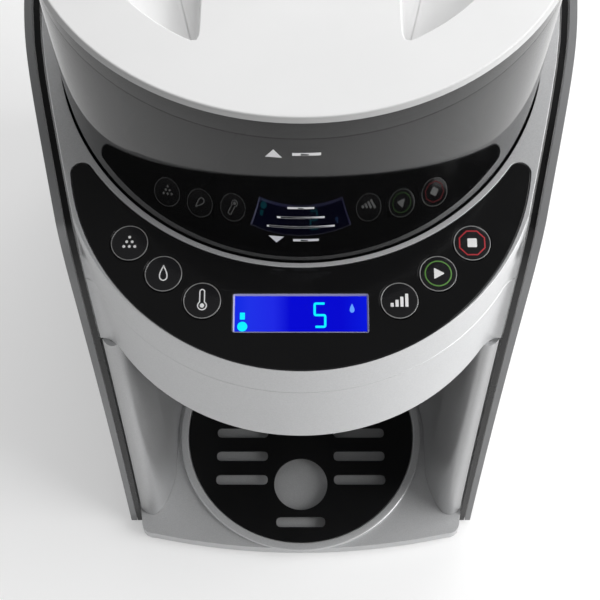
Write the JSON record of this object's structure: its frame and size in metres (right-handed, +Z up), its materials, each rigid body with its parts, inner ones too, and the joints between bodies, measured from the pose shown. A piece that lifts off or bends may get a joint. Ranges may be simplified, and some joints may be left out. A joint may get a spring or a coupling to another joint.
{
  "type": "baby formula maker",
  "caption": "Countertop baby formula maker: round smoked powder hopper over an open bottle bay, tilted crescent control panel, drip tray, funnel drawer and rear water tank.",
  "frame": {"origin": "centre of the footprint, on the surface the machine stands on", "axes": "+Z up, front with the control panel and bottle bay towards -Y, +X to the right seen from the front"},
  "size_m": [0.2428, 0.3332, 0.3838],
  "materials": {
    "silver_body": "satin silver paint on plastic",
    "grey_panel": "satin mid grey",
    "black_gloss": "high gloss black",
    "dark_plastic": "fine-textured dark grey",
    "white_plastic": "satin white",
    "smoked_plastic": "polished smoked clear plastic",
    "clear_plastic": "polished clear plastic",
    "display_blue": "back-lit blue display behind a clear window",
    "steel": "brushed",
    "board_green": "solder resist",
    "rubber": "matte",
    "silicone": "soft matte"
  },
  "bodies": {
    "machine": {"base_shell": "silver_body", "bottom_plate": "dark_plastic", "base_screw_right": "steel", "base_screw_left": "steel", "base_screw_rear": "steel", "foot_front_right": "rubber", "foot_front_left": "rubber", "foot_rear_right": "rubber", "foot_rear_left": "rubber", "side_panel_right": "grey_panel", "side_panel_left": "grey_panel", "trim_strip_right": "black_gloss", "trim_strip_left": "black_gloss", "bay_liner": "silver_body", "head_shell": "silver_body", "head_floor": "dark_plastic", "top_collar": "silver_body", "control_panel": "black_gloss", "display_window": "display_blue", "display_module": "steel", "panel_circuit_board": "board_green", "key_membrane": "silicone", "hopper_dock": "dark_plastic", "powder_motor": "steel", "powder_chute": "white_plastic", "drawer_rails": "dark_plastic", "water_nozzle": "steel", "rear_cover": "silver_body", "tank_dock": "dark_plastic", "water_pump": "dark_plastic", "heater": "steel", "inlet_hose": "silicone", "pump_hose": "silicone", "heater_hose": "silicone", "main_circuit_board": "board_green", "wire_harness": "rubber", "power_inlet": "dark_plastic", "power_switch": "dark_plastic"},
    "drive": {"drive_shaft": "steel"},
    "hopper": {"hopper": "smoked_plastic", "powder_guard": "white_plastic"},
    "agitator": {"powder_wheel": "white_plastic", "stirrer": "white_plastic"},
    "lid": {"hopper_lid": "white_plastic", "lid_gasket": "silicone"},
    "dose_key": {"button_dose": "black_gloss"},
    "water_key": {"button_water": "black_gloss"},
    "heat_key": {"button_heat": "black_gloss"},
    "amount_key": {"button_amount": "black_gloss"},
    "start_key": {"button_start": "black_gloss"},
    "stop_key": {"button_stop": "black_gloss"},
    "drawer": {"funnel_drawer": "dark_plastic", "funnel": "clear_plastic"},
    "tray": {"bottle_tray": "silver_body"},
    "grate": {"drip_grate": "black_gloss"},
    "tank": {"water_tank": "clear_plastic", "tank_hinge_pin": "steel"},
    "tank_cover": {"tank_lid": "dark_plastic"},
    "outlet_valve": {"tank_valve": "silicone"},
    "rocker": {"power_rocker": "black_gloss"}
  },
  "joints": [
    {"name": "hopper_lift", "type": "slide", "parent": "machine", "child": "hopper", "axis": [0, 0, 1], "range_m": [0, 0.125]},
    {"name": "lid_lift", "type": "slide", "parent": "hopper", "child": "lid", "axis": [0, 0, 1], "range_m": [0, 0.06]},
    {"name": "agitator_spin", "type": "hinge", "parent": "hopper", "child": "agitator", "pos_m": [0, -0.018, 0.27], "axis": [0, 0, 1], "continuous": true},
    {"name": "drive_spin", "type": "hinge", "parent": "machine", "child": "drive", "pos_m": [0, -0.018, 0.265], "axis": [0, 0, 1], "continuous": true},
    {"name": "dose_press", "type": "slide", "parent": "machine", "child": "dose_key", "axis": [0, 0.153, -0.9882], "range_m": [0, 0.001], "stiffness_N_per_m": 600, "springref_m": -0.0003},
    {"name": "water_press", "type": "slide", "parent": "machine", "child": "water_key", "axis": [0, 0.153, -0.9882], "range_m": [0, 0.001], "stiffness_N_per_m": 600, "springref_m": -0.0003},
    {"name": "heat_press", "type": "slide", "parent": "machine", "child": "heat_key", "axis": [0, 0.153, -0.9882], "range_m": [0, 0.001], "stiffness_N_per_m": 600, "springref_m": -0.0003},
    {"name": "amount_press", "type": "slide", "parent": "machine", "child": "amount_key", "axis": [0, 0.153, -0.9882], "range_m": [0, 0.001], "stiffness_N_per_m": 600, "springref_m": -0.0003},
    {"name": "start_press", "type": "slide", "parent": "machine", "child": "start_key", "axis": [0, 0.153, -0.9882], "range_m": [0, 0.001], "stiffness_N_per_m": 600, "springref_m": -0.0003},
    {"name": "stop_press", "type": "slide", "parent": "machine", "child": "stop_key", "axis": [0, 0.153, -0.9882], "range_m": [0, 0.001], "stiffness_N_per_m": 600, "springref_m": -0.0003},
    {"name": "drawer_slide", "type": "slide", "parent": "machine", "child": "drawer", "axis": [0, -1, 0], "range_m": [0, 0.08]},
    {"name": "tray_lift", "type": "slide", "parent": "machine", "child": "tray", "axis": [0, 0, 1], "range_m": [0, 0.06]},
    {"name": "grate_lift", "type": "slide", "parent": "tray", "child": "grate", "axis": [0, 0, 1], "range_m": [0, 0.02]},
    {"name": "tank_lift", "type": "slide", "parent": "machine", "child": "tank", "axis": [0, 0, 1], "range_m": [0, 0.2]},
    {"name": "tank_lid_hinge", "type": "hinge", "parent": "tank", "child": "tank_cover", "pos_m": [0, 0.1625, 0.303], "axis": [-1, 0, 0], "range_deg": [0, 100]},
    {"name": "valve_lift", "type": "slide", "parent": "tank", "child": "outlet_valve", "axis": [0, 0, 1], "range_m": [0, 0.004], "stiffness_N_per_m": 150, "springref_m": -0.002},
    {"name": "rocker_tilt", "type": "hinge", "parent": "machine", "child": "rocker", "pos_m": [0.03, 0.1636, 0.046], "axis": [1, 0, 0], "range_deg": [-7, 7]}
  ],
  "couplings": [
    {"joint": "drive_spin", "follows": "agitator_spin", "ratio": 1}
  ]
}
